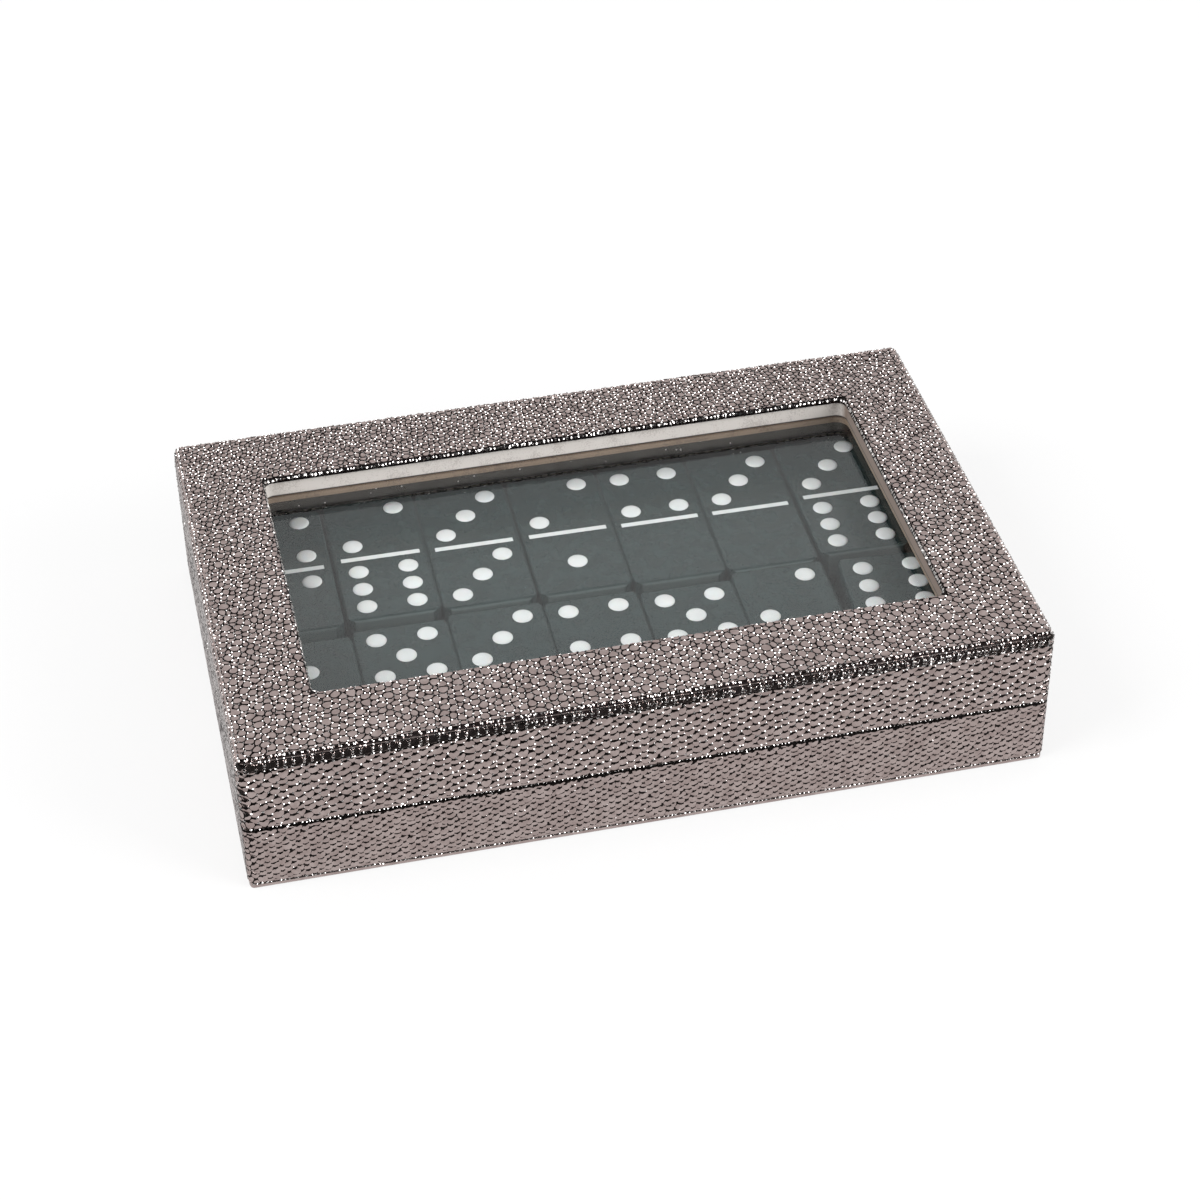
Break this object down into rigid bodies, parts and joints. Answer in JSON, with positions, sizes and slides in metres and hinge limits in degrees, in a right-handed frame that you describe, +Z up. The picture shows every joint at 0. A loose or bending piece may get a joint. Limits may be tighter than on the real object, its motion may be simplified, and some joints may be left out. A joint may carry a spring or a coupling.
{
  "type": "domino storage box",
  "caption": "Low rectangular leatherette-covered case with a glazed, hinged lid, holding a set of black dominoes with white pips in two layers.",
  "frame": {"origin": "middle of the underside, on the surface that the case stands on", "axes": "+X along the front towards the right-hand end, +Y from the front to the hinged back, +Z up"},
  "size_m": [0.2024, 0.1314, 0.0407],
  "materials": {
    "leatherette": "embossed pebble, metallic pewter sheen",
    "board": "raw fibreboard",
    "suede": "matt suede cloth",
    "black_lining": "matt black flocked cloth",
    "retainer_suede": "matt suede cloth on card",
    "card": "plain grey-brown card",
    "pane": "polished clear glass",
    "domino_black": "satin",
    "domino_white": "gloss",
    "hinge_steel": "nickel plated",
    "screw_steel": "nickel plated"
  },
  "bodies": {
    "base": {"base_plate_cover": "leatherette", "base_plate_card": "card", "base_filler_card": "card", "base_floor_board": "board", "base_wall_front": "board", "base_wall_back": "board", "base_wall_left": "board", "base_wall_right": "board", "base_cover": "leatherette", "base_floor_lining": "black_lining", "base_wall_lining": "black_lining", "hinge_left_base_leaf": "hinge_steel", "hinge_right_base_leaf": "hinge_steel", "hinge_left_pin": "hinge_steel", "hinge_right_pin": "hinge_steel", "base_hinge_screws": "screw_steel", "tile_pips": "domino_white", "tile_bars": "domino_white", "tile_4_2": "domino_black", "tile_2_6": "domino_black", "tile_3_3": "domino_black", "tile_2_1": "domino_black", "tile_4_0": "domino_black", "tile_3_0": "domino_black", "tile_3_6": "domino_black", "tile_1_5": "domino_black", "tile_5_5": "domino_black", "tile_3_4": "domino_black", "tile_4_6": "domino_black", "tile_5_0": "domino_black", "tile_2_0": "domino_black", "tile_6_6": "domino_black", "tile_0_0": "domino_black", "tile_0_1": "domino_black", "tile_0_6": "domino_black", "tile_1_1": "domino_black", "tile_1_3": "domino_black", "tile_1_4": "domino_black", "tile_1_6": "domino_black", "tile_2_2": "domino_black", "tile_2_3": "domino_black", "tile_2_5": "domino_black", "tile_3_5": "domino_black", "tile_4_4": "domino_black", "tile_4_5": "domino_black", "tile_5_6": "domino_black"},
    "lid": {"lid_frame_board": "board", "lid_wall_front": "board", "lid_wall_back": "board", "lid_wall_left": "board", "lid_wall_right": "board", "lid_cover": "leatherette", "window_edging": "suede", "window_pane": "pane", "pane_retainer": "retainer_suede", "lid_wall_lining": "black_lining", "hinge_left_lid_leaf": "hinge_steel", "hinge_right_lid_leaf": "hinge_steel", "lid_hinge_screws": "screw_steel"}
  },
  "joints": [
    {"name": "lid_hinge", "type": "hinge", "parent": "base", "child": "lid", "pos_m": [0, 0.0627, 0.0195], "axis": [-1, 0, 0], "range_deg": [0, 98]}
  ]
}
